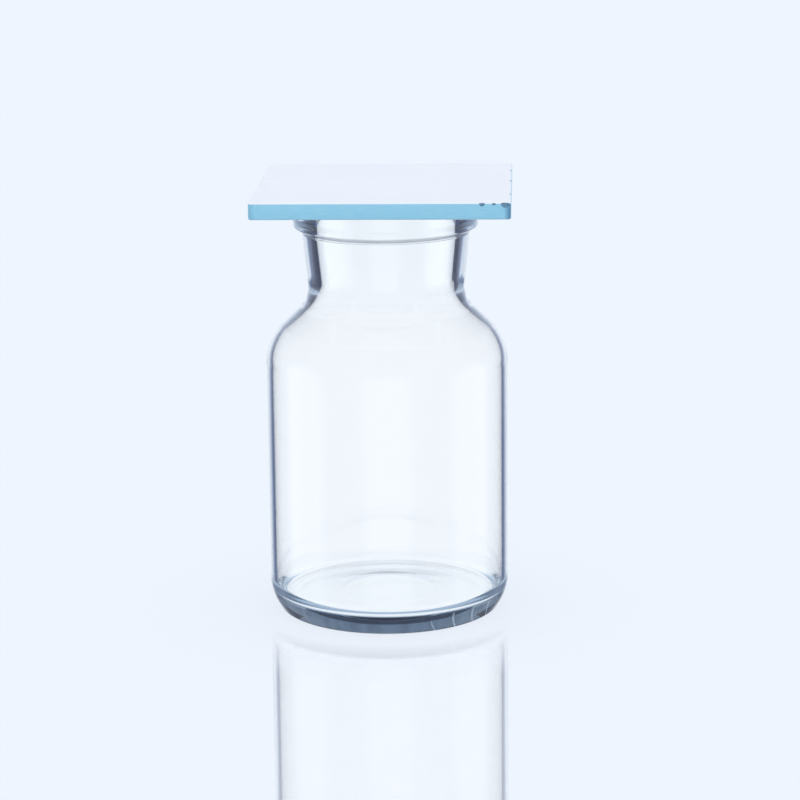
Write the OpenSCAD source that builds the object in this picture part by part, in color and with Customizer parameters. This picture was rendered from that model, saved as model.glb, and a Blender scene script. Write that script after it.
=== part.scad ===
// Gas jar: a wide-mouthed bottle of clear moulded glass with a ground rim,
// and the square ground-glass plate that lies on the rim and closes it.
// The jar is one revolved wall. Its inside doesn't follow its outside: the lip and
// neck are thick, the shoulder and body are thin, and the base is thick and dished.
// Millimetres, +Z up. The origin is the middle of the plane that the jar stands on.

/* [Jar] */
// Height of the jar from its foot to its ground rim
jar_h = 100; // [88:1:120]
// Outside diameter of the body
body_d = 58; // [54:0.5:66]
// Wall of the body
body_wall = 1.45; // [1:0.05:2.5]
// Wall of the shoulder, where the glass is blown thinnest
shoulder_wall = 1.15; // [0.9:0.05:2]
// Slope of the shoulder from the level
shoulder_slope = 45; // [35:1:55]
// Rounding where the shoulder meets the body, outside
shoulder_round = 12; // [4:0.5:16]

/* [Neck and lip] */
// Drop from the ground rim to the foot of the neck
neck_drop = 23.5; // [19:0.5:28]
// Outside diameter at the foot of the neck
neck_d = 36.8; // [34:0.2:40]
// Wall at the foot of the neck
neck_wall = 3.2; // [2.4:0.1:4.2]
// How far the glass is thickened downwards inside the foot of the neck
neck_sink = 1.5; // [0:0.1:2.5]
// How much wider the neck is under the lip than at its foot, outside
neck_flare = 3.4; // [1:0.2:4]
// Rounding where the neck meets the shoulder, outside
neck_round = 6; // [2:0.5:9]
// Outside diameter of the lip
lip_d = 44; // [42.5:0.25:50]
// Height of the lip from its lower edge to the ground rim
lip_h = 7; // [4:0.2:8]
// Diameter of the mouth at the ground rim
mouth_d = 34.8; // [32:0.2:37]

/* [Base] */
// Diameter of the foot, where the heel would meet the table if it weren't rounded
foot_d = 52.8; // [47:0.2:53.5]
// Height at which the heel would meet the body if it weren't rounded
heel_h = 4.6; // [2.5:0.1:8]
// Glass between the table and the floor, at the rim of the floor
floor_h = 4.4; // [2.8:0.1:6]
// Rounding between the floor and the wall, inside
floor_round = 3.4; // [1:0.1:6]
// Width of the flat ring that the jar stands on
foot_ring = 4.4; // [3:0.1:6]
// Rise of the dish under the base
dish_rise = 0.5; // [0.3:0.1:2]
// Rise of the floor towards its middle
floor_rise = 0.4; // [0.2:0.1:1.6]

/* [Cover plate] */
// Side of the square plate
plate_w = 60; // [51:0.5:80]
// Thickness of the plate
plate_t = 3.8; // [2.5:0.1:6]
// Radius of the plate's upright corners
plate_corner = 0.8; // [0.4:0.1:3]
// Bevel along the plate's cut edges
plate_bevel = 0.35; // [0.1:0.05:0.8]
// Size of the largest chip in the plate's top edges
chip_size = 1; // [0.4:0.1:1.4]

/* [Hidden] */

// Turn of one straight facet of a rounded corner, in degrees
facet_turn = 6;
// Facets round the jar, and round the plate's corners and chips
ring_facets = 96;
corner_facets = 32;
// Roundings of the lip, the ground rim, the neck's inner foot and the jar's foot
lip_round = 0.6;
lip_fillet = 1.6;
rim_round = 0.4;
neck_in_round = 12;
foot_round = 1.5;
heel_round = 10;
dish_round = 14;
// How far the lip's underside climbs outwards
lip_rake = 0.8;
// Share of the foot's inner radius at which the dish turns level
dish_share = 0.5;

body_r = body_d / 2;
body_in_r = body_r - body_wall;
neck_r = neck_d / 2;
neck_in_r = neck_r - neck_wall;
neck_top_r = neck_r + neck_flare / 2;
lip_r = lip_d / 2;
mouth_r = mouth_d / 2;
foot_r = foot_d / 2;
dish_r = foot_r - foot_ring;

neck_z = jar_h - neck_drop;
lip_z = jar_h - lip_h;
shoulder_z = neck_z - (body_r - neck_r) * tan(shoulder_slope);
// The shoulder's inner face starts one wall below its outer face, and lies deeper
// towards the neck, where the glass gathers
shoulder_in_z = shoulder_z + body_wall * tan(shoulder_slope)
    - shoulder_wall / cos(shoulder_slope);
neck_in_z = shoulder_in_z + (body_in_r - neck_in_r) * tan(shoulder_slope) - neck_sink;

// Chips in the plate's top edges: [along X, along Y, share of chip_size],
// both places as shares of the plate's half side
CHIPS = [
    [0.78, -1, 0.7],
    [0.87, -1, 0.5],
    [0.955, -1, 1],
    [1, -0.55, 0.5],
    [1, 0.1, 0.6],
    [1, 0.62, 0.5],
    [-0.985, 0.985, 1],
];

// The arc that rounds corner b of the way a, b, c. Its radius is r, or less
// where r would take more than half of the shorter side.
function corner_arc(a, b, c, r) =
    let (
        to_a = (a - b) / norm(a - b),
        to_c = (c - b) / norm(c - b),
        half = acos(to_a * to_c) / 2,
        reach = min(r / tan(half), norm(a - b) / 2, norm(c - b) / 2),
        centre = b + (to_a + to_c) / norm(to_a + to_c) * reach / cos(half),
        spoke = b + to_a * reach - centre,
        way = cross(to_a, to_c) > 0 ? -1 : 1,
        sweep = way * (180 - 2 * half),
        count = ceil(abs(sweep) / facet_turn)
    )
    [for (i = [0 : count])
        let (turn = sweep * i / count)
        centre + [
            spoke.x * cos(turn) - spoke.y * sin(turn),
            spoke.x * sin(turn) + spoke.y * cos(turn)
        ]];

// An outline from corners [radius from the axis, height, rounding]
function rounded(corners) =
    [for (i = [0 : len(corners) - 1])
        let (
            here = corners[i],
            before = corners[(i + len(corners) - 1) % len(corners)],
            after = corners[(i + 1) % len(corners)],
            b = [here.x, here.y]
        )
        each here.z == 0
            ? [b]
            : corner_arc([before.x, before.y], b, [after.x, after.y], here.z)];

// Corners under and round the outside, from the middle of the dish to the rim
OUTSIDE = [
    [0, dish_rise, 0],
    [dish_r * dish_share, dish_rise, dish_round],
    [dish_r, 0, foot_round],
    [foot_r, 0, foot_round],
    [body_r, heel_h, heel_round],
    [body_r, shoulder_z, shoulder_round],
    [neck_r, neck_z, neck_round],
    [neck_top_r, lip_z, lip_fillet],
    [lip_r, lip_z + lip_rake, lip_round],
    [lip_r, jar_h, rim_round],
];

// Corners down the inside, from the rim to the middle of the floor
INSIDE = [
    [mouth_r, jar_h, rim_round],
    [neck_in_r, neck_in_z, neck_in_round],
    [body_in_r, shoulder_in_z, shoulder_round - body_wall],
    [body_in_r, floor_h, floor_round],
    [dish_r * dish_share, floor_h + floor_rise, dish_round],
    [0, floor_h + floor_rise, 0],
];

module jar() {
    color([0.82, 0.9, 0.97, 0.35])
        rotate_extrude($fn = ring_facets)
            polygon(rounded(concat(OUTSIDE, INSIDE)));
}

// A rectangle about the middle with its corners cut off at 45 degrees
module bevelled_rectangle(w, h) {
    intersection() {
        square([w, h], center = true);
        rotate(45)
            square((w + h) / sqrt(2) - sqrt(2) * plate_bevel, center = true);
    }
}

// The plate's outline from above, with rounded corners
module plate_outline() {
    reach = plate_w / 2 - plate_corner;
    square([plate_w, 2 * reach], center = true);
    square([2 * reach, plate_w], center = true);
    for (x = [-reach, reach], y = [-reach, reach])
        translate([x, y])
            circle(plate_corner, $fn = corner_facets);
}

// A band through the plate whose section has the bevels of two opposite edges
module bevelled_band() {
    rotate([90, 0, 0])
        linear_extrude(2 * plate_w, center = true)
            bevelled_rectangle(plate_w, plate_t);
}

// A shell-shaped chip in a top edge, broken by a knock from above and outside
module chip(share) {
    size = share * chip_size;
    translate([0, 0, plate_t / 2])
        sphere(size, $fn = corner_facets);
}

module cover_plate() {
    color([0.62, 0.82, 0.92, 0.6])
        translate([0, 0, jar_h + plate_t / 2])
            difference() {
                intersection() {
                    linear_extrude(plate_t, center = true)
                        plate_outline();
                    bevelled_band();
                    rotate(90)
                        bevelled_band();
                }
                for (place = CHIPS)
                    translate([place.x * plate_w / 2, place.y * plate_w / 2, 0])
                        chip(place.z);
            }
}

jar();
cover_plate();
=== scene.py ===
# %% [markdown]
# # A gas jar and its ground-glass cover plate
# A gas jar is a wide-mouthed bottle that collects gas over water. It is made of two
# pieces of glass: the jar, which is moulded and blown in one piece, and a square plate
# that lies on its ground rim. The construction is already measured, so the lesson
# starts by loading it, and every size below is in metres.

# %% Load the measured model
import math

import bpy
from mathutils import Matrix, Vector


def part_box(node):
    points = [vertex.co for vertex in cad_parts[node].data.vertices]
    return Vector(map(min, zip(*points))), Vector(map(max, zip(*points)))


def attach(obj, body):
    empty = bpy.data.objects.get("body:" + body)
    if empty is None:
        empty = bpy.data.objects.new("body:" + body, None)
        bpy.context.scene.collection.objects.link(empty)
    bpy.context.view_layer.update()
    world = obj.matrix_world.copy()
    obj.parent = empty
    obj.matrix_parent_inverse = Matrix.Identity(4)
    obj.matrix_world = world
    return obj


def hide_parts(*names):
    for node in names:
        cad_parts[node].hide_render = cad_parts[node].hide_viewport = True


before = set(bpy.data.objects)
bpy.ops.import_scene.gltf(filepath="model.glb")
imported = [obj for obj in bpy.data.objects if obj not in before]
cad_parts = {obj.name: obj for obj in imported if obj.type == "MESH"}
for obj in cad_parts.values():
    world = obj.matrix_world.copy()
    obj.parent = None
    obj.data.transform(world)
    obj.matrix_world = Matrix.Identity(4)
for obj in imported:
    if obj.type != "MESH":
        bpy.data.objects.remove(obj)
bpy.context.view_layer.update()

JAR_LOW, JAR_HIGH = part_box("jar")
PLATE_LOW, PLATE_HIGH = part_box("cover_plate")
MM = 0.001
print("jar", JAR_LOW, JAR_HIGH)
print("plate", PLATE_LOW, PLATE_HIGH)

# %% [markdown]
# ## The camera
# Glass is mostly what stands behind it, so the camera is set first: every finish is
# judged from here. It stands a long way off with a long lens, a little above the
# plate, and looks down by about 13 degrees. A hand-held camera is never quite level,
# so it also leans by half a degree.

# %% Stand the camera
CAMERA_AIM = Vector((0.003, 0, 0.05087))
CAMERA_DISTANCE = 0.7065
CAMERA_AROUND = math.radians(2.54)
CAMERA_DOWN = math.radians(13.3)
CAMERA_LEAN = math.radians(-0.59)
CAMERA_LENS = 131.7


def stand_camera():
    """A camera on a ball head round the aim: turned, tipped, then leant."""
    data = bpy.data.cameras.new("long_lens")
    data.lens = CAMERA_LENS
    camera = bpy.data.objects.new("long_lens", data)
    bpy.context.collection.objects.link(camera)
    turned = Matrix.Rotation(CAMERA_AROUND, 4, "Z")
    tipped = Matrix.Rotation(math.radians(90) - CAMERA_DOWN, 4, "X")
    leant = Matrix.Rotation(CAMERA_LEAN, 4, "Z")
    back = Matrix.Translation((0, 0, CAMERA_DISTANCE))
    camera.matrix_world = Matrix.Translation(CAMERA_AIM) @ turned @ tipped @ back @ leant
    bpy.context.scene.camera = camera
    return camera


camera = stand_camera()
print("camera at", [round(v, 4) for v in camera.matrix_world.translation])

# %% [markdown]
# ## Working by hand, in code
# Each piece is modelled with the same operators that the mouse would call. An operator
# acts on whatever is selected, so a small set of helpers keeps the selection honest.

# %% Helpers for working by hand
def deselect_all():
    """Leave the hand empty, in object mode."""
    if bpy.context.object and bpy.context.object.mode != "OBJECT":
        bpy.ops.object.mode_set(mode="OBJECT")
    bpy.ops.object.select_all(action="DESELECT")


def take(piece):
    """Select one object alone and make it the active one."""
    deselect_all()
    piece.select_set(True)
    bpy.context.view_layer.objects.active = piece


def edit(piece, kind="VERT"):
    """Open a piece in edit mode with nothing selected."""
    take(piece)
    bpy.ops.object.mode_set(mode="EDIT")
    bpy.ops.mesh.select_mode(type=kind)
    bpy.ops.mesh.select_all(action="DESELECT")


def select(piece, kind, test):
    """In edit mode, select the vertices, edges or faces that pass a test."""
    bpy.ops.mesh.select_mode(type=kind)
    bpy.ops.mesh.select_all(action="DESELECT")
    bpy.ops.object.mode_set(mode="OBJECT")
    mesh = piece.data
    items = {"VERT": mesh.vertices, "EDGE": mesh.edges, "FACE": mesh.polygons}[kind]
    found = 0
    for item in items:
        item.select = test(item)
        found += item.select
    bpy.ops.object.mode_set(mode="EDIT")
    return found


DOUBLES = 0.0001 * MM


def close_up(piece, angle=None):
    """Merge doubles, turn the faces outwards and shade the piece smooth."""
    edit(piece)
    bpy.ops.mesh.select_all(action="SELECT")
    bpy.ops.mesh.remove_doubles(threshold=DOUBLES)
    bpy.ops.mesh.normals_make_consistent(inside=False)
    bpy.ops.object.mode_set(mode="OBJECT")
    if angle is None:
        bpy.ops.object.shade_smooth()
    else:
        bpy.ops.object.shade_smooth_by_angle(angle=angle)


def triangles(piece):
    """How many triangles a piece has."""
    return sum(len(face.vertices) - 2 for face in piece.data.polygons)


print("helpers ready")

# %% [markdown]
# ## The jar
# A revolved vessel could be a subdivided cylinder, but glass shows every unevenness of
# a surface, inside and outside. So it is made the way a glassmaker draws it: half of
# its section is drawn as a line, each corner is rounded, and the line is spun about the
# axis. The inside doesn't follow the outside. The lip and neck are thick, the shoulder
# and body are thin, and the base is thick over a shallow dish.

# %% The jar's section, from its foot round to its floor
BODY_R = JAR_HIGH[0]
RIM_Z = JAR_HIGH[2]
BODY_WALL, SHOULDER_WALL = 1.45 * MM, 1.15 * MM
NECK_R, NECK_IN_R, NECK_TOP_R = 18.4 * MM, 15.2 * MM, 20.1 * MM
LIP_R, MOUTH_R = 22 * MM, 17.4 * MM
NECK_Z = RIM_Z - 23.5 * MM
LIP_Z, LIP_RAKE = RIM_Z - 7 * MM, 0.8 * MM
FOOT_R, DISH_R, DISH_RISE = 26.4 * MM, 22 * MM, 0.5 * MM
HEEL_Z, FLOOR_Z, FLOOR_RISE = 4.6 * MM, 4.4 * MM, 0.4 * MM
SHOULDER_Z = NECK_Z - (BODY_R - NECK_R)
SHOULDER_IN_Z = SHOULDER_Z + BODY_WALL - SHOULDER_WALL * math.sqrt(2)
NECK_SINK = 1.5 * MM
NECK_IN_Z = SHOULDER_IN_Z + (BODY_R - BODY_WALL - NECK_IN_R) - NECK_SINK

# Each corner: radius from the axis, height, rounding
SECTION = [
    (0, DISH_RISE, 0),
    (DISH_R / 2, DISH_RISE, 14 * MM),
    (DISH_R, 0, 1.5 * MM),
    (FOOT_R, 0, 1.5 * MM),
    (BODY_R, HEEL_Z, 10 * MM),
    (BODY_R, SHOULDER_Z, 12 * MM),
    (NECK_R, NECK_Z, 6 * MM),
    (NECK_TOP_R, LIP_Z, 1.6 * MM),
    (LIP_R, LIP_Z + LIP_RAKE, 0.6 * MM),
    (LIP_R, RIM_Z, 0.4 * MM),
    (MOUTH_R, RIM_Z, 0.4 * MM),
    (NECK_IN_R, NECK_IN_Z, 12 * MM),
    (BODY_R - BODY_WALL, SHOULDER_IN_Z, 10.5 * MM),
    (BODY_R - BODY_WALL, FLOOR_Z, 3.4 * MM),
    (DISH_R / 2, FLOOR_Z + FLOOR_RISE, 14 * MM),
    (0, FLOOR_Z + FLOOR_RISE, 0),
]
print("the section has", len(SECTION), "corners")

# %% Draw the section as a line
def draw_line(name, points):
    """A plane's corners are merged to one point, which is then extruded from stop to stop."""
    deselect_all()
    bpy.ops.mesh.primitive_plane_add(size=MM)
    line = bpy.context.object
    line.name = name
    bpy.ops.object.mode_set(mode="EDIT")
    bpy.ops.mesh.select_all(action="SELECT")
    bpy.ops.mesh.merge(type="CENTER")
    bpy.ops.mesh.select_mode(type="VERT")
    bpy.ops.mesh.select_all(action="SELECT")
    bpy.ops.transform.translate(value=points[0])
    for here, there in zip(points, points[1:]):
        step = Vector(there) - Vector(here)
        bpy.ops.mesh.extrude_region_move(TRANSFORM_OT_translate={"value": step})
    bpy.ops.object.mode_set(mode="OBJECT")
    return line


jar = draw_line("jar_glass", [(r, 0, z) for r, z, _ in SECTION])
print("points", len(jar.data.vertices), "lines", len(jar.data.edges))

# %% Round each corner of the line
ARC_TURN = math.radians(3)
AT_CORNER = 0.001 * MM


def round_corner(line, before, here, after, radius):
    """Bevel one point of a line, so that an arc of this radius takes its place."""
    here = Vector(here)
    to_before, to_after = Vector(before) - here, Vector(after) - here
    half = to_before.angle(to_after) / 2
    most = min(to_before.length, to_after.length) / 2
    reach = min(radius / math.tan(half), most)
    steps = max(2, math.ceil((math.pi - 2 * half) / ARC_TURN))
    edit(line)
    select(line, "VERT", lambda v: (v.co - here).length < AT_CORNER)
    bpy.ops.mesh.bevel(
        offset=reach, offset_type="OFFSET", affect="VERTICES", segments=steps, profile=0.5)
    bpy.ops.object.mode_set(mode="OBJECT")


corners = [(r, 0, z) for r, z, _ in SECTION]
for i, (_, _, rounding) in enumerate(SECTION):
    if rounding:
        round_corner(jar, corners[i - 1], corners[i], corners[i + 1], rounding)
print("points once rounded", len(jar.data.vertices))

# %% Spin the line into a jar
SPIN_STEPS = 180
edit(jar)
bpy.ops.mesh.select_all(action="SELECT")
bpy.ops.mesh.spin(steps=SPIN_STEPS, angle=math.tau, center=(0, 0, 0), axis=(0, 0, 1))
bpy.ops.object.mode_set(mode="OBJECT")
close_up(jar)
print("jar triangles", triangles(jar))

# %% [markdown]
# The outside of the neck took its shape from the mould, but nothing touched its inside
# while it was blown. So the inside of the neck is never quite true: it waves by less
# than a tenth of a millimetre, and the dark bands in the wall wave with it.

# %% Let the inside of the neck wave a little
WAVE_HEIGHT, WAVE_SIZE = 0.16 * MM, 4 * MM
WAVE_REACH = 18 * MM
WAVE_LOW_Z, WAVE_HIGH_Z = NECK_Z + 3 * MM, RIM_Z - 2 * MM


def inside_points(piece):
    """The points inside the neck, clear of the shoulder and of the ground rim."""
    inside = []
    for point in piece.data.vertices:
        radius = math.hypot(point.co.x, point.co.y)
        if radius > WAVE_REACH or not WAVE_LOW_Z < point.co.z < WAVE_HIGH_Z:
            continue
        if point.normal.x * point.co.x + point.normal.y * point.co.y < 0:
            inside.append(point.index)
    return inside


def wave_inside(piece):
    """A Displace modifier with soft clouds, held to the inside and applied."""
    group = piece.vertex_groups.new(name="inside")
    group.add(inside_points(piece), 1, "REPLACE")
    clouds = bpy.data.textures.new("waves", "CLOUDS")
    clouds.noise_scale = WAVE_SIZE
    clouds.noise_depth = 1
    take(piece)
    wave = piece.modifiers.new("waves", "DISPLACE")
    wave.texture = clouds
    wave.texture_coords = "LOCAL"
    wave.vertex_group = group.name
    wave.strength = WAVE_HEIGHT
    bpy.ops.object.modifier_apply(modifier=wave.name)
    piece.vertex_groups.clear()


wave_inside(jar)
print("waves done, jar points", len(jar.data.vertices))

# %% [markdown]
# ## The cover plate
# The plate is a square of sheet glass. It could be one scaled cube, but its look is in
# its edges: the upright corners are rounded, the long edges are bevelled by grinding,
# and knocks have broken shell-shaped chips out of the top edges. It lies on the rim
# with a film of air between the two ground faces, which keeps the faces apart here.

# %% Cut the plate and round its edges
AIR_FILM = 0.03 * MM
PLATE_HALF = PLATE_HIGH[0]
PLATE_LOW_Z, PLATE_TOP_Z = PLATE_LOW[2] + AIR_FILM, PLATE_HIGH[2]
PLATE_CORNER, PLATE_BEVEL = 0.8 * MM, 0.35 * MM
LEVEL = 0.001 * MM


def along_z(piece, edge):
    """Whether an edge stands upright."""
    a, b = (piece.data.vertices[i].co for i in edge.vertices)
    return abs(a.z - b.z) > PLATE_CORNER


def level_at_faces(piece, edge):
    """Whether an edge runs round the top or the bottom face."""
    a, b = (piece.data.vertices[i].co for i in edge.vertices)
    return abs(a.z - b.z) < LEVEL


def cut_plate():
    """A cube brought to the plate's size, with its corners and then its edges bevelled."""
    deselect_all()
    bpy.ops.mesh.primitive_cube_add(size=1)
    piece = bpy.context.object
    piece.name = "plate_glass"
    edit(piece)
    bpy.ops.mesh.select_all(action="SELECT")
    thickness = PLATE_TOP_Z - PLATE_LOW_Z
    bpy.ops.transform.resize(value=(2 * PLATE_HALF, 2 * PLATE_HALF, thickness))
    bpy.ops.transform.translate(value=(0, 0, (PLATE_TOP_Z + PLATE_LOW_Z) / 2))
    select(piece, "EDGE", lambda edge: along_z(piece, edge))
    bpy.ops.mesh.bevel(offset=PLATE_CORNER, offset_type="OFFSET", segments=5, affect="EDGES")
    select(piece, "EDGE", lambda edge: level_at_faces(piece, edge))
    bpy.ops.mesh.bevel(offset=PLATE_BEVEL, offset_type="OFFSET", segments=2, affect="EDGES")
    bpy.ops.object.mode_set(mode="OBJECT")
    return piece


plate = cut_plate()
print("plate faces", len(plate.data.polygons))

# %% Knock the chips out of the top edges
CHIP_SIZE = 1 * MM
CHIP_ROUGHNESS = 0.06
# Each chip: its place along X and Y as shares of the half side, and its share of the size
CHIPS = [
    (0.78, -1, 0.7),
    (0.87, -1, 0.5),
    (0.955, -1, 1),
    (1, -0.55, 0.5),
    (1, 0.1, 0.6),
    (1, 0.62, 0.5),
    (-0.985, 0.985, 1),
]


def knock_chip(piece, place, seed):
    """Take an uneven ball out of a top edge, as a knock takes a shell of glass."""
    x, y, share = place
    deselect_all()
    bpy.ops.mesh.primitive_ico_sphere_add(
        subdivisions=3,
        radius=share * CHIP_SIZE,
        location=(x * PLATE_HALF, y * PLATE_HALF, PLATE_TOP_Z))
    ball = bpy.context.object
    edit(ball)
    bpy.ops.mesh.select_all(action="SELECT")
    uneven = CHIP_ROUGHNESS * share * CHIP_SIZE
    bpy.ops.transform.vertex_random(offset=uneven, seed=seed)
    bpy.ops.object.mode_set(mode="OBJECT")
    take(piece)
    cut = piece.modifiers.new("chip", "BOOLEAN")
    cut.operation = "DIFFERENCE"
    cut.object = ball
    bpy.ops.object.modifier_apply(modifier=cut.name)
    bpy.data.objects.remove(ball)


for number, place in enumerate(CHIPS):
    knock_chip(plate, place, number)
close_up(plate, math.radians(25))
print("plate triangles", triangles(plate))

# %% [markdown]
# ## Finishes
# Clear glass has hardly any colour of its own. What is seen is bent light, so its finish
# is a Principled shader that lets light through, with slate shade painted into the heel
# and onto the ground rim, and a painted glow where light is trapped. The helpers make a
# shader's tree of nodes, do sums with its sockets, and find a point's place on the jar.

# %% Helpers for materials
def new_finish(name):
    """An empty material with a Principled shader on its output."""
    finish = bpy.data.materials.new(name)
    finish.use_nodes = True
    tree = finish.node_tree
    tree.nodes.clear()
    output = tree.nodes.new("ShaderNodeOutputMaterial")
    shader = tree.nodes.new("ShaderNodeBsdfPrincipled")
    tree.links.new(shader.outputs["BSDF"], output.inputs["Surface"])
    return finish, tree, shader, output


def add_node(tree, kind, values=(), **settings):
    """A node of a kind, with its settings, and with values for its inputs."""
    node = tree.nodes.new("ShaderNode" + kind)
    for name, setting in settings.items():
        setattr(node, name, setting)
    for name, value in dict(values).items():
        node.inputs[name].default_value = value
    return node


def compute(tree, operation, *values):
    """The result of a sum with sockets and numbers."""
    node = add_node(tree, "Math", operation=operation)
    for socket, value in zip(node.inputs, values):
        if isinstance(value, (int, float)):
            socket.default_value = value
        else:
            tree.links.new(value, socket)
    return node.outputs["Value"]


def multiply(tree, first, second):
    """The product of two sockets, or of a socket and a number."""
    return compute(tree, "MULTIPLY", first, second)


def either_of(tree, first, second):
    """The larger of two sockets."""
    return compute(tree, "MAXIMUM", first, second)


def ramp(tree, value, start, end):
    """0 up to one value, 1 from another, and even between them."""
    node = add_node(tree, "MapRange", {"From Min": start, "From Max": end}, clamp=True)
    tree.links.new(value, node.inputs["Value"])
    return node.outputs["Result"]


def at_least(tree, number, count):
    """1 if a whole number has come to a count, and 0 if not."""
    return ramp(tree, number, count - 0.6, count - 0.4)


def fewer_than(tree, number, count):
    """1 if a whole number is below a count, and 0 if not."""
    return ramp(tree, number, count - 0.4, count - 0.6)


def between(tree, angle, start, full, last_full, end):
    """1 between two angles in degrees, fading to 0 at two others."""
    start, full, last_full, end = [math.radians(a) for a in (start, full, last_full, end)]
    return multiply(tree, ramp(tree, angle, start, full), ramp(tree, angle, end, last_full))


def split(tree, vector):
    """The X, Y and Z of a vector."""
    apart = add_node(tree, "SeparateXYZ")
    tree.links.new(vector, apart.inputs["Vector"])
    return [apart.outputs[axis] for axis in "XYZ"]


def join(tree, x, y):
    """A vector from its X and Y."""
    vector = add_node(tree, "CombineXYZ")
    tree.links.new(x, vector.inputs["X"])
    tree.links.new(y, vector.inputs["Y"])
    return vector.outputs["Vector"]


def length(tree, vector):
    """How long a vector is."""
    node = add_node(tree, "VectorMath", operation="LENGTH")
    tree.links.new(vector, node.inputs[0])
    return node.outputs["Value"]


def blend_colours(tree, factor, first, second):
    """A colour between two others."""
    mix = add_node(tree, "Mix", data_type="RGBA")
    tree.links.new(factor, mix.inputs["Factor"])
    for socket, colour in ((mix.inputs[6], first), (mix.inputs[7], second)):
        if isinstance(colour, tuple):
            socket.default_value = colour
        else:
            tree.links.new(colour, socket)
    return mix.outputs[2]


def mix_shaders(tree, factor, first, second):
    """One shader turning into another, by a factor."""
    mix = add_node(tree, "MixShader")
    if isinstance(factor, (int, float)):
        mix.inputs[0].default_value = factor
    else:
        tree.links.new(factor, mix.inputs[0])
    tree.links.new(first, mix.inputs[1])
    tree.links.new(second, mix.inputs[2])
    return mix.outputs[0]


def noise(tree, vector, scale, detail):
    """Soft speckle."""
    speckle = add_node(tree, "TexNoise", {"Scale": scale, "Detail": detail})
    tree.links.new(vector, speckle.inputs["Vector"])
    return speckle.outputs["Fac"]


def own_place(tree):
    """A point's place in the object's own frame."""
    return add_node(tree, "TexCoord").outputs["Object"]


def round_axis(tree):
    """A point's height, its distance from the jar's axis, and its turn from the front."""
    x, y, z = split(tree, own_place(tree))
    turn = compute(tree, "ARCTAN2", x, multiply(tree, y, -1))
    return z, length(tree, join(tree, x, y)), turn


print("finish helpers ready")

# %% Clear glass for the jar
GLASS_IOR = 1.5
GLASS_BLUE, GLASS_DENSITY = (0.3, 0.56, 0.76, 1), 18
WHITE = (1, 1, 1, 1)
# Painted shade: the heel colours darken light that goes in through the outside of the thick
# heel, and the rim colour darkens the ground rim under the plate.
HEEL_SHADE_SLATE = (0.042, 0.06, 0.092, 1)
HEEL_SHADE_DARK = (0.022, 0.034, 0.058, 1)
HEEL_SLOPE = 0.8
RIM_SHADE_SLATE = (0.02, 0.03, 0.06, 1)
RIM_EDGE = (RIM_Z - 0.3 * MM, RIM_Z - 0.1 * MM)
FOOT_EDGE = (0.2 * MM, 0.05 * MM)
FOOT_MATT, RIM_MATT, SCRATCH_MATT = 0.1, 0.15, 0.5
# Where the outside of the heel begins, as a radius at the level of the foot
HEEL_EDGE = (24.4 * MM, 24.9 * MM)
SCRATCHES_A_TURN = 30
SCRATCH_SWAY, SCRATCH_CURL = 2.2, 400
SCRATCH_LINE, SCRATCH_WEAR, WEAR_SCALE = (0.95, 1), (0.36, 0.5), 420
# The scratched part: angles from the front in degrees, heights and radii
SCRATCHED_SIDE = (22, 34, 65, 69)
SCRATCHED_UP_TO = (5 * MM, 4 * MM)
SCRATCHED_FROM = (25 * MM, 25.6 * MM)
STREAKS_ROUND, STREAKS_UP = 9, 90
STREAK_EDGE = (0.4, 0.62)
# Light is followed for four reflections. At the fifth, the glass glows with a painted light
# whose colour its zone of the jar gives: the floor, the heel round it, the neck above them,
# and the lip
MOST_BOUNCES = 5
HEEL_ZONE, NECK_ZONE = (22 * MM, 25.5 * MM), (20 * MM, 60 * MM)
LIP_ZONE = (86 * MM, 92 * MM)
# Painted light: the colours of the glow that stands in for trapped light, zone by zone.
TRAPPED_GLOW_FLOOR = (0.62, 0.68, 0.78, 1)
TRAPPED_GLOW_HEEL = (0.17, 0.22, 0.3, 1)
TRAPPED_GLOW_NECK = (0.27, 0.32, 0.43, 1)
TRAPPED_GLOW_LIP = (0.66, 0.71, 0.82, 1)


def outside_of_heel(tree, height, radius):
    """1 where light goes in through the outside of the heel."""
    skirt = compute(tree, "SUBTRACT", radius, multiply(tree, height, HEEL_SLOPE))
    heel = ramp(tree, skirt, *HEEL_EDGE)
    leaving = add_node(tree, "NewGeometry").outputs["Backfacing"]
    return multiply(tree, heel, fewer_than(tree, leaving, 1))


def scratch_heel(tree, height, radius, turn):
    """1 on a few curved scratches that a rack left on one side of the heel."""
    sway = compute(tree, "SINE", multiply(tree, height, SCRATCH_CURL))
    round_jar = multiply(tree, turn, SCRATCHES_A_TURN)
    along = compute(tree, "MULTIPLY_ADD", sway, SCRATCH_SWAY, round_jar)
    lines = ramp(tree, compute(tree, "SINE", along), *SCRATCH_LINE)
    worn = ramp(tree, noise(tree, own_place(tree), WEAR_SCALE, 2), *SCRATCH_WEAR)
    side = between(tree, turn, *SCRATCHED_SIDE)
    low = ramp(tree, height, *SCRATCHED_UP_TO)
    skirt = multiply(tree, low, ramp(tree, radius, *SCRATCHED_FROM))
    return multiply(tree, multiply(tree, worn, lines), multiply(tree, side, skirt))


def streak_heel_shade(tree, height, turn):
    """Painted slate shade, with the upright streaks of the mould's worn wall."""
    flat = join(
        tree, multiply(tree, turn, STREAKS_ROUND), multiply(tree, height, STREAKS_UP))
    share = ramp(tree, noise(tree, flat, 1, 3), *STREAK_EDGE)
    return blend_colours(tree, share, HEEL_SHADE_SLATE, HEEL_SHADE_DARK)


def shade_heel_and_rim(tree, shader, height, radius, turn, scratches):
    """Painted slate shade in the heel and on the ground rim, and none elsewhere."""
    clean = ramp(tree, scratches, 1, 0)
    heel = multiply(tree, outside_of_heel(tree, height, radius), clean)
    shade_colour = blend_colours(tree, heel, WHITE, streak_heel_shade(tree, height, turn))
    shade_colour = blend_colours(tree, ramp(tree, height, *RIM_EDGE), shade_colour, RIM_SHADE_SLATE)
    tree.links.new(shade_colour, shader.inputs["Base Color"])


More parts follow.
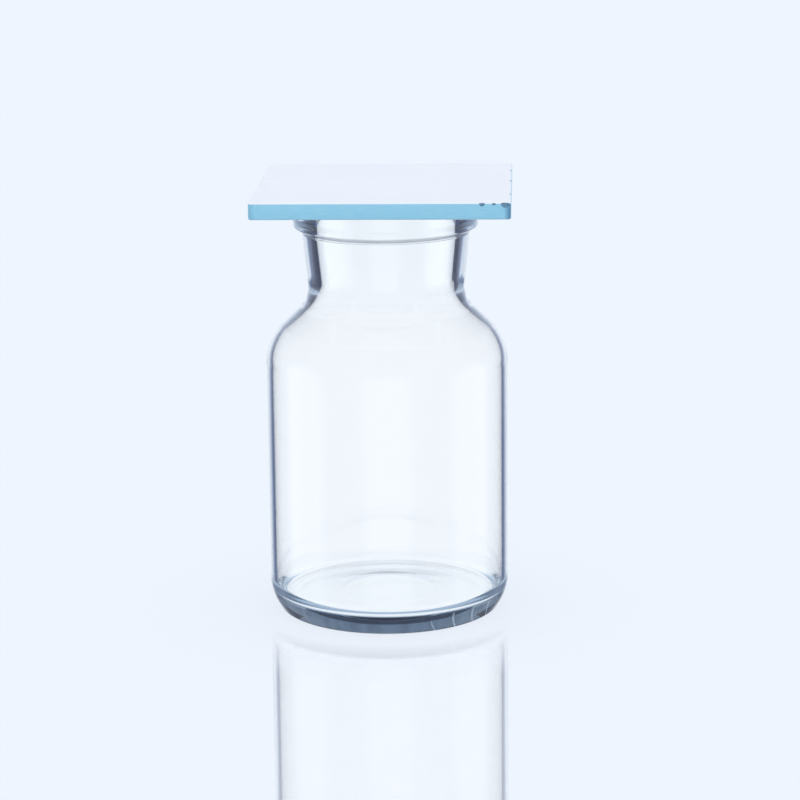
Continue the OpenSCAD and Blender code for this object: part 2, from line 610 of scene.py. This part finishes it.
def grind(tree, shader, height, scratches):
    """A matt rim, ground flat, a matt foot, worn by the bench, and matt scratches."""
    foot = multiply(tree, ramp(tree, height, *FOOT_EDGE), FOOT_MATT)
    rim = multiply(tree, ramp(tree, height, *RIM_EDGE), RIM_MATT)
    matt = either_of(tree, foot, rim)
    matt = either_of(tree, matt, multiply(tree, scratches, SCRATCH_MATT))
    tree.links.new(matt, shader.inputs["Roughness"])


def paint_trapped_glow(tree, shader, height, radius):
    """A painted glow in place of light that is still inside after its last counted reflection.
    """
    depth = add_node(tree, "LightPath").outputs["Glossy Depth"]
    out = ramp(tree, radius, *HEEL_ZONE)
    up = ramp(tree, height, *NECK_ZONE)
    at_lip = ramp(tree, height, *LIP_ZONE)
    colour = blend_colours(tree, out, TRAPPED_GLOW_FLOOR, TRAPPED_GLOW_HEEL)
    colour = blend_colours(tree, up, colour, TRAPPED_GLOW_NECK)
    colour = blend_colours(tree, at_lip, colour, TRAPPED_GLOW_LIP)
    tree.links.new(colour, shader.inputs["Emission Color"])
    trapped = at_least(tree, depth, MOST_BOUNCES)
    tree.links.new(trapped, shader.inputs["Emission Strength"])


def clear_glass():
    """Polished glass, a little blue where it is thick, with painted shade in its heel and rim,
    a painted glow where light is trapped, and matt where it is ground.
    """
    finish, tree, shader, output = new_finish("clear_glass")
    finish.cycles.emission_sampling = "NONE"
    shader.inputs["Transmission Weight"].default_value = 1
    shader.inputs["IOR"].default_value = GLASS_IOR
    depth = add_node(tree, "VolumeAbsorption", {"Color": GLASS_BLUE, "Density": GLASS_DENSITY})
    tree.links.new(depth.outputs["Volume"], output.inputs["Volume"])
    height, radius, turn = round_axis(tree)
    scratches = scratch_heel(tree, height, radius, turn)
    shade_heel_and_rim(tree, shader, height, radius, turn, scratches)
    grind(tree, shader, height, scratches)
    paint_trapped_glow(tree, shader, height, radius)
    return finish


jar.data.materials.append(clear_glass())
print("jar finish", [m.name for m in jar.data.materials])

# %% Ground glass for the plate
GROUND_PALE, GROUND_GREY = (0.93, 0.95, 1, 1), (0.915, 0.935, 0.99, 1)
RUBBED_PALE = (0.96, 0.97, 1, 1)
EDGE_BLUE, SAWN_BLUE = (0.295, 0.655, 0.84, 1), (0.34, 0.69, 0.87, 1)
# Painted shade on the cut edge: darker blue at its corners, more on the right, and on its
# lower bevel.
CORNER_SHADE_BLUE = (0.05, 0.2, 0.36, 1)
ARRIS_SHADE_BLUE = (0.16, 0.42, 0.56, 1)
# Painted shade in the chips' breaks, dark and paler by facets.
CHIP_SHADE_DARK, CHIP_SHADE_PALE = (0.06, 0.17, 0.28, 1), (0.2, 0.42, 0.56, 1)
# Distances from the middle, and heights, where the painted shades of the edge begin and are
# full
CORNER_FROM, RIGHT_FROM = (28.4 * MM, 29.6 * MM), (-20 * MM, 20 * MM)
ARRIS_FROM = (PLATE_LOW_Z + 0.45 * MM, PLATE_LOW_Z + 0.1 * MM)
# The corners on the left take the painted shade by a quarter, and those on the right by more
LEFT_SHADE_SHARE, RIGHT_SHADE_MORE, ARRIS_SHADE_SHARE = 0.25, 0.6, 0.5


def grain(tree, size, stretch=(1, 1, 1)):
    """Soft speckle of about a given size in metres, drawn out by a stretch."""
    scaled = add_node(tree, "Mapping")
    scaled.inputs["Scale"].default_value = stretch
    tree.links.new(own_place(tree), scaled.inputs["Vector"])
    return noise(tree, scaled.outputs["Vector"], 1 / size, 3)


def far_out(tree, socket, start, end):
    """0 to 1 between two distances from the middle, on either side of it."""
    return ramp(tree, compute(tree, "ABSOLUTE", socket), start, end)


def sheet_glass(name, roughness, transmission):
    """A glass finish with a part of its light let through."""
    finish, tree, shader, _ = new_finish(name)
    shader.inputs["Transmission Weight"].default_value = transmission
    shader.inputs["Roughness"].default_value = roughness
    shader.inputs["IOR"].default_value = GLASS_IOR
    return finish, tree, shader


def ground_glass():
    """Faces ground matt with grit, with faint rubs where the plate slid on the rim."""
    finish, tree, shader = sheet_glass("ground_glass", 0.5, 0.15)
    speckle = ramp(tree, grain(tree, 0.5 * MM), 0.35, 0.7)
    rubbed = ramp(tree, grain(tree, 9 * MM, (1, 5, 1)), 0.56, 0.68)
    colour = blend_colours(tree, speckle, GROUND_PALE, GROUND_GREY)
    colour = blend_colours(tree, rubbed, colour, RUBBED_PALE)
    tree.links.new(colour, shader.inputs["Base Color"])
    return finish


def cut_edge():
    """The sawn and ground edge, where the glass shows its own blue, with painted shade at the
    corners and on the lower bevel.
    """
    finish, tree, shader = sheet_glass("cut_edge", 0.35, 0.1)
    x, y, z = split(tree, own_place(tree))
    saw = ramp(tree, grain(tree, 3 * MM, (1, 1, 8)), 0.35, 0.65)
    blue = blend_colours(tree, saw, EDGE_BLUE, SAWN_BLUE)
    corner = multiply(tree, far_out(tree, x, *CORNER_FROM), far_out(tree, y, *CORNER_FROM))
    right = ramp(tree, x, *RIGHT_FROM)
    share = compute(tree, "MULTIPLY_ADD", right, RIGHT_SHADE_MORE, LEFT_SHADE_SHARE)
    colour = blend_colours(tree, multiply(tree, corner, share), blue, CORNER_SHADE_BLUE)
    arris = multiply(tree, ramp(tree, z, *ARRIS_FROM), ARRIS_SHADE_SHARE)
    colour = blend_colours(tree, arris, colour, ARRIS_SHADE_BLUE)
    tree.links.new(colour, shader.inputs["Base Color"])
    return finish


def shaded_broken_glass():
    """Fresh breaks in the chips, in painted shade of dark and paler blue where they look into
    the depth of the sheet.
    """
    finish, tree, shader = sheet_glass("shaded_broken_glass", 0.3, 0.1)
    facets = ramp(tree, grain(tree, 0.3 * MM), 0.4, 0.6)
    colour = blend_colours(tree, facets, CHIP_SHADE_DARK, CHIP_SHADE_PALE)
    tree.links.new(colour, shader.inputs["Base Color"])
    return finish


def in_a_chip(face):
    """Whether a face lies in the bowl of a chip."""
    for x, y, share in CHIPS:
        place = Vector((x * PLATE_HALF, y * PLATE_HALF, PLATE_TOP_Z))
        if (face.center - place).length > 1.1 * share * CHIP_SIZE:
            continue
        if face.area < (0.8 * share * CHIP_SIZE) ** 2:
            return True
    return False


def finish_faces(piece, finish, test):
    """Give a finish to the faces that pass a test."""
    piece.data.materials.append(finish)
    edit(piece)
    found = select(piece, "FACE", test)
    piece.active_material_index = len(piece.data.materials) - 1
    bpy.ops.object.material_slot_assign()
    bpy.ops.object.mode_set(mode="OBJECT")
    return found


plate.data.materials.append(ground_glass())
print("edge faces", finish_faces(plate, cut_edge(), lambda face: abs(face.normal.z) < 0.9))
print("chip faces", finish_faces(plate, shaded_broken_glass(), in_a_chip))

# %% [markdown]
# ## The bench and the light
# Clear glass in an even white room can't be seen. A photographer stands it among pale
# screens with dark gaps between them: light that goes straight through the glass comes
# from a screen, and light that was turned aside inside the glass comes from a gap, so
# every thick or steep place draws itself as a dark line. The same is done here with
# four screens, and only rays that were reflected inside the glass see the gaps. Two
# brighter strips on each screen make up for what the steep glass reflects away. Two
# grey flags stand low beside the back screen, and only what bounces downwards off a
# gloss sees them. The room stays plain for everything else.

# %% Tell rays apart
PALE = (0.855, 0.913, 1, 1)
PALE_THROUGH = (0.955, 0.988, 1.03, 1)
# The faces that a ray crosses when it goes straight through both walls of the jar
BOTH_WALLS = 4
FLAG_TOP, FLAG_FULL = -0.17, -0.24


def bounced_inside(tree):
    """1 for a ray that was reflected inside one thickness of glass, and 0 for others."""
    path = add_node(tree, "LightPath")
    bounced = at_least(tree, path.outputs["Glossy Depth"], 1)
    entered = at_least(tree, path.outputs["Transmission Depth"], 1)
    one_wall = fewer_than(tree, path.outputs["Transmission Depth"], BOTH_WALLS)
    return multiply(tree, bounced, multiply(tree, entered, one_wall))


def went_through(tree):
    """1 for a ray that went straight through two thicknesses of glass or more."""
    path = add_node(tree, "LightPath")
    straight = fewer_than(tree, path.outputs["Glossy Depth"], 1)
    crossed = at_least(tree, path.outputs["Transmission Depth"], BOTH_WALLS)
    return multiply(tree, straight, crossed)


def bounced_outside(tree, rise):
    """1 for a ray that a gloss sent on downwards, and that has been in no glass."""
    path = add_node(tree, "LightPath")
    bounced = at_least(tree, path.outputs["Glossy Depth"], 1)
    outside = fewer_than(tree, path.outputs["Transmission Depth"], 1)
    downwards = ramp(tree, rise, FLAG_TOP, FLAG_FULL)
    return multiply(tree, downwards, multiply(tree, bounced, outside))


def sent_on(tree):
    """1 for a ray that glass or a glossy surface sent on, and 0 for any other."""
    path = add_node(tree, "LightPath")
    return either_of(tree, path.outputs["Is Glossy Ray"], path.outputs["Is Transmission Ray"])


print("the stage tells rays apart")

# %% Light the room
LIGHT = (1.03, 1.07, 1.13, 1)
SCREENS = 4
SCREEN_TURN = CAMERA_AROUND
# Heights are the Z of a direction: -1 is straight down, and 1 is straight up
SCREEN_MIDDLE = -0.23
ABOVE_BENCH = (-0.75, -0.5)
SCREEN_TOP = (0.33, 0.45)
LAMP_EDGE = (0.98, 0.93)
# From the middle of a screen outwards: the angle in degrees, and the colour there
SCREEN_FADE = [
    (14, (0.89, 0.945, 1, 1)),
    (18, (0.82, 0.88, 0.97, 1)),
    (22, (0.5, 0.58, 0.73, 1)),
    (26, (0.12, 0.17, 0.33, 1)),
    (32, (0.02, 0.045, 0.14, 1)),
    (40, (0.001, 0.006, 0.05, 1)),
]
FADE_REACH = 60
# Angles in degrees from the middle of a screen: where each starts, is full and ends
STRIP = (4.5, 10.5, 17, 22)
STRIP_GLOW = (1.03, 1.065, 1.11, 1)
FLAG = (15, 24, 36, 50)
FLAG_GREY = (0.4, 0.45, 0.56, 1)


def split_way(tree):
    """The three parts of the direction that a ray leaves in."""
    return split(tree, add_node(tree, "TexCoord").outputs["Generated"])


def beside_screen(tree, x, y, screens):
    """How far round the room a direction lies from the nearest screen, in radians."""
    turned = compute(tree, "ADD", compute(tree, "ARCTAN2", x, y), SCREEN_TURN)
    wave = compute(tree, "COSINE", multiply(tree, turned, screens))
    return multiply(tree, compute(tree, "ARCCOSINE", wave), 1 / screens)


def over_screen(tree, z):
    """How far a direction lies above the middle of a screen, where that counts.

    It counts for light reflected once, and for light going steeply up. For the rest it is
    0, so that the mirror image in the bench keeps its dark lines as thin as the jar's.
    """
    over = add_node(tree, "MapRange", {"From Min": SCREEN_MIDDLE, "From Max": 1,
                                       "To Max": 1 - SCREEN_MIDDLE}, clamp=True)
    tree.links.new(z, over.inputs["Value"])
    depth = add_node(tree, "LightPath").outputs["Glossy Depth"]
    counts = either_of(tree, fewer_than(tree, depth, 2), ramp(tree, z, *SCREEN_TOP))
    return multiply(tree, over.outputs["Result"], counts)


def from_screen(tree):
    """The angle between a direction and the middle of the nearest screen, in radians."""
    x, y, z = split_way(tree)
    above_bench = ramp(tree, z, *ABOVE_BENCH)
    beside = multiply(tree, beside_screen(tree, x, y, SCREENS), above_bench)
    angle = length(tree, join(tree, beside, over_screen(tree, z)))
    return multiply(tree, angle, ramp(tree, z, *LAMP_EDGE))


def fade_screens(tree):
    """The colour of a screen, which falls off to the dark of the gap beside it."""
    fade = add_node(tree, "ValToRGB")
    stops = fade.color_ramp.elements
    while len(stops) < len(SCREEN_FADE):
        stops.new(0.5)
    for stop, (angle, colour) in zip(stops, SCREEN_FADE):
        stop.position = angle / FADE_REACH
        stop.color = colour
    share = multiply(tree, from_screen(tree), 1 / math.radians(FADE_REACH))
    tree.links.new(share, fade.inputs["Fac"])
    return fade.outputs["Color"]


def colour_plain_room(tree):
    """The pale of the room, with a screen's brighter strips and the two grey flags."""
    path = add_node(tree, "LightPath")
    x, y, z = split_way(tree)
    strip = between(tree, beside_screen(tree, x, y, SCREENS), *STRIP)
    strip = multiply(tree, strip, went_through(tree))
    seen = blend_colours(tree, path.outputs["Is Transmission Ray"], PALE, PALE_THROUGH)
    seen = blend_colours(tree, strip, seen, STRIP_GLOW)
    flag = between(tree, beside_screen(tree, x, y, 1), *FLAG)
    flag = multiply(tree, flag, bounced_outside(tree, z))
    return blend_colours(tree, flag, seen, FLAG_GREY)


def light_room():
    """A plain white sky for lighting, and pale screens for what is looked at."""
    world = bpy.data.worlds.new("studio")
    world.use_nodes = True
    tree = world.node_tree
    tree.nodes.clear()
    output = tree.nodes.new("ShaderNodeOutputWorld")
    light = add_node(tree, "Background", {"Color": LIGHT})
    path = add_node(tree, "LightPath")
    screen = add_node(tree, "Background")
    tree.links.new(colour_plain_room(tree), screen.inputs["Color"])
    beside = add_node(tree, "Background")
    tree.links.new(fade_screens(tree), beside.inputs["Color"])
    looked_at = either_of(tree, path.outputs["Is Camera Ray"], sent_on(tree))
    plain = mix_shaders(tree, looked_at, light.outputs[0], screen.outputs[0])
    whole = mix_shaders(tree, bounced_inside(tree), plain, beside.outputs[0])
    tree.links.new(whole, output.inputs["Surface"])
    bpy.context.scene.world = world


light_room()
bpy.context.scene.view_settings.view_transform = "Standard"
print("world", bpy.context.scene.world.name)

# %% Lay the bench
BENCH_SIZE, BENCH_GAP = 12, 0.1 * MM
BENCH_WHITE = (0.83, 0.853, 0.885, 1)
BENCH_GLOW, BENCH_GLOSS = 0.88, 0.66
GLOSS_START, GLOSS_FULL = 34 * MM, 62 * MM


def lay_bench():
    """A wide sheet of glossy opal acrylic just under the foot, lit a little from below."""
    deselect_all()
    bpy.ops.mesh.primitive_plane_add(size=BENCH_SIZE, location=(0, 0, -BENCH_GAP))
    bench = bpy.context.object
    bench.name = "bench"
    finish, tree, shader, output = new_finish("opal_sheet")
    tree.nodes.remove(shader)
    matt = add_node(tree, "BsdfDiffuse", {"Color": BENCH_WHITE})
    glow = add_node(tree, "Emission", {"Color": PALE})
    gloss = add_node(tree, "BsdfGlossy", {"Color": WHITE, "Roughness": 0.02})
    opal = mix_shaders(tree, BENCH_GLOW, matt.outputs[0], glow.outputs[0])
    _, radius, _ = round_axis(tree)
    sheen = multiply(tree, ramp(tree, radius, GLOSS_START, GLOSS_FULL), BENCH_GLOSS)
    sheet = mix_shaders(tree, sheen, opal, gloss.outputs[0])
    open_air = add_node(tree, "BsdfTransparent")
    whole = mix_shaders(tree, sent_on(tree), sheet, open_air.outputs[0])
    tree.links.new(whole, output.inputs["Surface"])
    bench.data.materials.append(finish)


lay_bench()
print("bench laid")

# %% [markdown]
# ## Hand over
# Both pieces of glass stand for their measured solids and ride on the one body.

# %% Join the pieces to the model
for piece, node, slot in ((jar, "jar", "jar_glass"), (plate, "cover_plate", "plate_glass")):
    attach(piece, "root")
    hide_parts(node)
